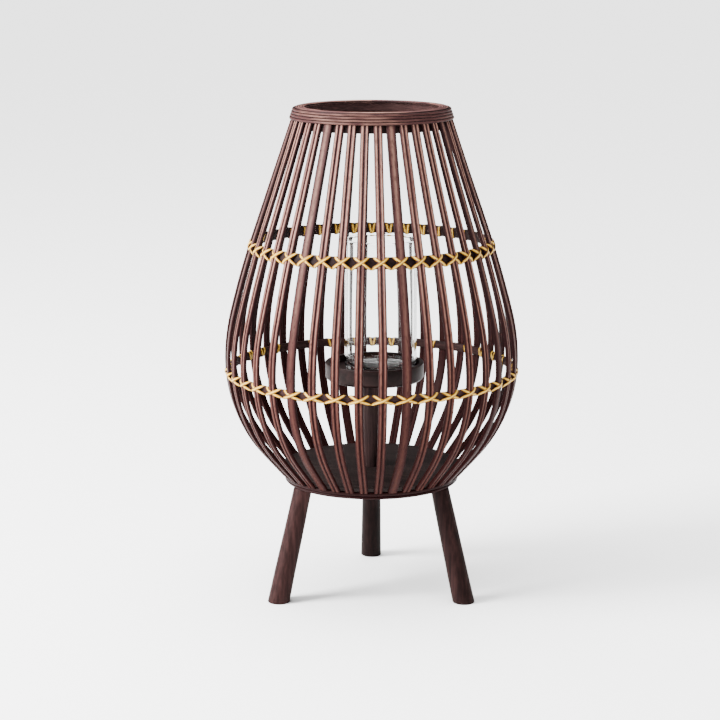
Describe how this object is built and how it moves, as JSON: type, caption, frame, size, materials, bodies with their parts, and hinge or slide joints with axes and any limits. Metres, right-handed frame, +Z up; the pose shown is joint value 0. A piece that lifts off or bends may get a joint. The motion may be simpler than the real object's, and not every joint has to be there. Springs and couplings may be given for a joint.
{
  "type": "candle lantern",
  "caption": "Pear-shaped garden floor lantern: bent bamboo splints lashed with cane to hoops, on splayed wooden legs, with a lift-out glass candle cylinder on a turned tray.",
  "frame": {"origin": "floor level under the middle of the lantern", "axes": "+Z up from the floor to the rim; -Y is the front, midway between the two front legs; +X to the right seen from the front"},
  "size_m": [0.3376, 0.3376, 0.56],
  "materials": {
    "splint_bamboo": "dark stained bamboo splints, satin, with paler rubbed faces and dark edges",
    "rim_cane": "dark stained round cane, satin, fine lengthwise grain",
    "hoop_bamboo": "dark brown stained bamboo band, matt",
    "lashing_cane": "natural golden cane with a glossy skin",
    "board_wood": "grey brown stained board, matt",
    "leg_wood": "dark stained round dowel, satin",
    "post_wood": "dark stained round dowel, matt",
    "tray_wood": "dark stained turned wood, satin",
    "dowel_wood": "plain beech",
    "clear_glass": "clear blown glass, polished"
  },
  "bodies": {
    "cage": {"rim_wrap": "rim_cane", "rim_coil": "rim_cane", "rim_band_upper": "hoop_bamboo", "rim_band_lower": "hoop_bamboo", "upper_hoop": "hoop_bamboo", "lower_hoop": "hoop_bamboo", "upper_lashing": "lashing_cane", "lower_lashing": "lashing_cane", "base_board": "board_wood", "edge_strand_upper": "rim_cane", "edge_strand_lower": "rim_cane", "leg_left": "leg_wood", "leg_right": "leg_wood", "leg_back": "leg_wood", "leg_dowels": "dowel_wood", "post": "post_wood", "post_dowels": "dowel_wood", "tray": "tray_wood", "splint_pair_01": "splint_bamboo", "wide_splint_02": "splint_bamboo", "splint_pair_03": "splint_bamboo", "splint_pair_04": "splint_bamboo", "splint_pair_05": "splint_bamboo", "splint_pair_06": "splint_bamboo", "wide_splint_07": "splint_bamboo", "splint_pair_08": "splint_bamboo", "splint_pair_09": "splint_bamboo", "splint_pair_10": "splint_bamboo", "splint_pair_11": "splint_bamboo", "wide_splint_12": "splint_bamboo", "splint_pair_13": "splint_bamboo", "splint_pair_14": "splint_bamboo", "splint_pair_15": "splint_bamboo", "splint_pair_16": "splint_bamboo", "wide_splint_17": "splint_bamboo", "splint_pair_18": "splint_bamboo", "splint_pair_19": "splint_bamboo", "splint_pair_20": "splint_bamboo", "splint_pair_21": "splint_bamboo", "wide_splint_22": "splint_bamboo", "splint_pair_23": "splint_bamboo", "splint_pair_24": "splint_bamboo", "splint_pair_25": "splint_bamboo", "splint_pair_26": "splint_bamboo", "wide_splint_27": "splint_bamboo", "splint_pair_28": "splint_bamboo", "splint_pair_29": "splint_bamboo", "splint_pair_30": "splint_bamboo", "splint_pair_31": "splint_bamboo", "wide_splint_32": "splint_bamboo", "splint_pair_33": "splint_bamboo", "splint_pair_34": "splint_bamboo", "splint_pair_35": "splint_bamboo", "splint_pair_36": "splint_bamboo", "wide_splint_37": "splint_bamboo", "splint_pair_38": "splint_bamboo", "splint_pair_39": "splint_bamboo", "splint_pair_40": "splint_bamboo"},
    "glass": {"glass_cylinder": "clear_glass"}
  },
  "joints": [
    {"name": "glass_lift", "type": "slide", "parent": "cage", "child": "glass", "axis": [0, 0, 1], "range_m": [0, 0.32]}
  ]
}
